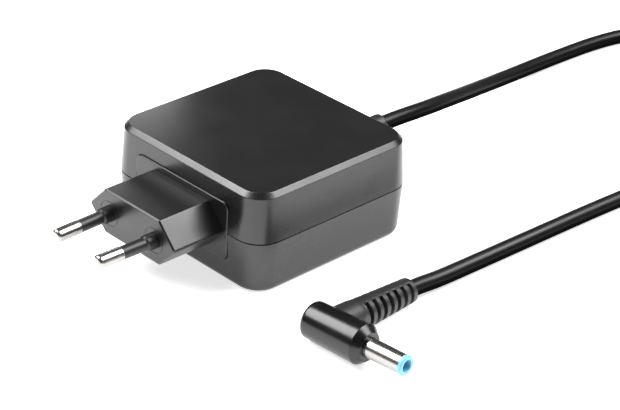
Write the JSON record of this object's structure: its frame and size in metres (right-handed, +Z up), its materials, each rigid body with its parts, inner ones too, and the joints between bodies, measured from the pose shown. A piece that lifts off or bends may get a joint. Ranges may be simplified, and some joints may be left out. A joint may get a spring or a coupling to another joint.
{
  "type": "laptop power adapter",
  "caption": "Compact wall-plug power adapter with a flat round-pin mains plug in its side and a free output cord that ends in a right-angled barrel plug.",
  "frame": {"origin": "centre of the casing's flat underside", "axes": "+Z up through the casing, -Y the way the mains pins point, +Y the way the output cord leaves, +X across the pins"},
  "size_m": [0.1163, 0.2814, 0.0301],
  "materials": {
    "case_abs": "fine spark-eroded texture, satin at a low angle",
    "plug_abs": "satin moulded",
    "nickel": "bright nickel plating",
    "sleeve_pvc": "satin moulded",
    "cord_pvc": "smooth extruded jacket",
    "boot_pvc": "matt moulded",
    "dc_body_pvc": "semi-gloss moulded",
    "tip_blue": "gloss moulded",
    "contact": "plated contact",
    "hook_and_loop": "woven strap",
    "board_fr4": "solder mask over glass laminate",
    "ferrite": "sintered, matt",
    "copper_winding": "enamelled wire",
    "bobbin_plastic": "moulded",
    "winding_tape": "polyester film tape",
    "film_box": "moulded box",
    "can_sleeve": "shrink sleeve over an aluminium can",
    "disc_blue": "dipped epoxy",
    "fuse_plastic": "moulded",
    "epoxy_black": "moulded epoxy",
    "heatsink": "rolled sheet",
    "wire_brown": "extruded insulation",
    "wire_blue": "extruded insulation",
    "wire_black": "extruded insulation",
    "wire_red": "extruded insulation",
    "wire_white": "extruded insulation"
  },
  "bodies": {
    "root": {"top_cover": "case_abs", "bottom_cover": "case_abs", "plug_housing": "plug_abs", "plug_pin_left": "nickel", "plug_pin_right": "nickel", "pin_sleeve_left": "sleeve_pvc", "pin_sleeve_right": "sleeve_pvc", "cord_grommet": "boot_pvc", "cord_run_out": "cord_pvc", "cord_coil": "cord_pvc", "cord_run_back": "cord_pvc", "cord_tie": "hook_and_loop", "dc_plug_body": "dc_body_pvc", "dc_strain_relief": "boot_pvc", "dc_barrel": "nickel", "dc_tip_ring": "tip_blue", "dc_inner_sleeve": "contact", "dc_centre_pin": "contact", "main_pcb": "board_fr4", "controller_chip": "epoxy_black", "fuse": "fuse_plastic", "varistor": "disc_blue", "x_capacitor": "film_box", "line_choke_core": "ferrite", "line_choke_winding": "copper_winding", "bridge_rectifier": "epoxy_black", "bulk_capacitor": "can_sleeve", "switching_transistor": "epoxy_black", "primary_heatsink": "heatsink", "transformer_core": "ferrite", "transformer_bobbin": "bobbin_plastic", "transformer_winding": "winding_tape", "y_capacitor": "disc_blue", "optocoupler": "epoxy_black", "output_rectifier": "epoxy_black", "secondary_heatsink": "heatsink", "output_capacitor_1": "can_sleeve", "output_capacitor_2": "can_sleeve", "output_choke": "ferrite", "mains_lead_live": "wire_brown", "mains_lead_neutral": "wire_blue", "output_lead_positive": "wire_red", "output_lead_negative": "wire_black", "output_lead_signal": "wire_white"}
  },
  "joints": []
}
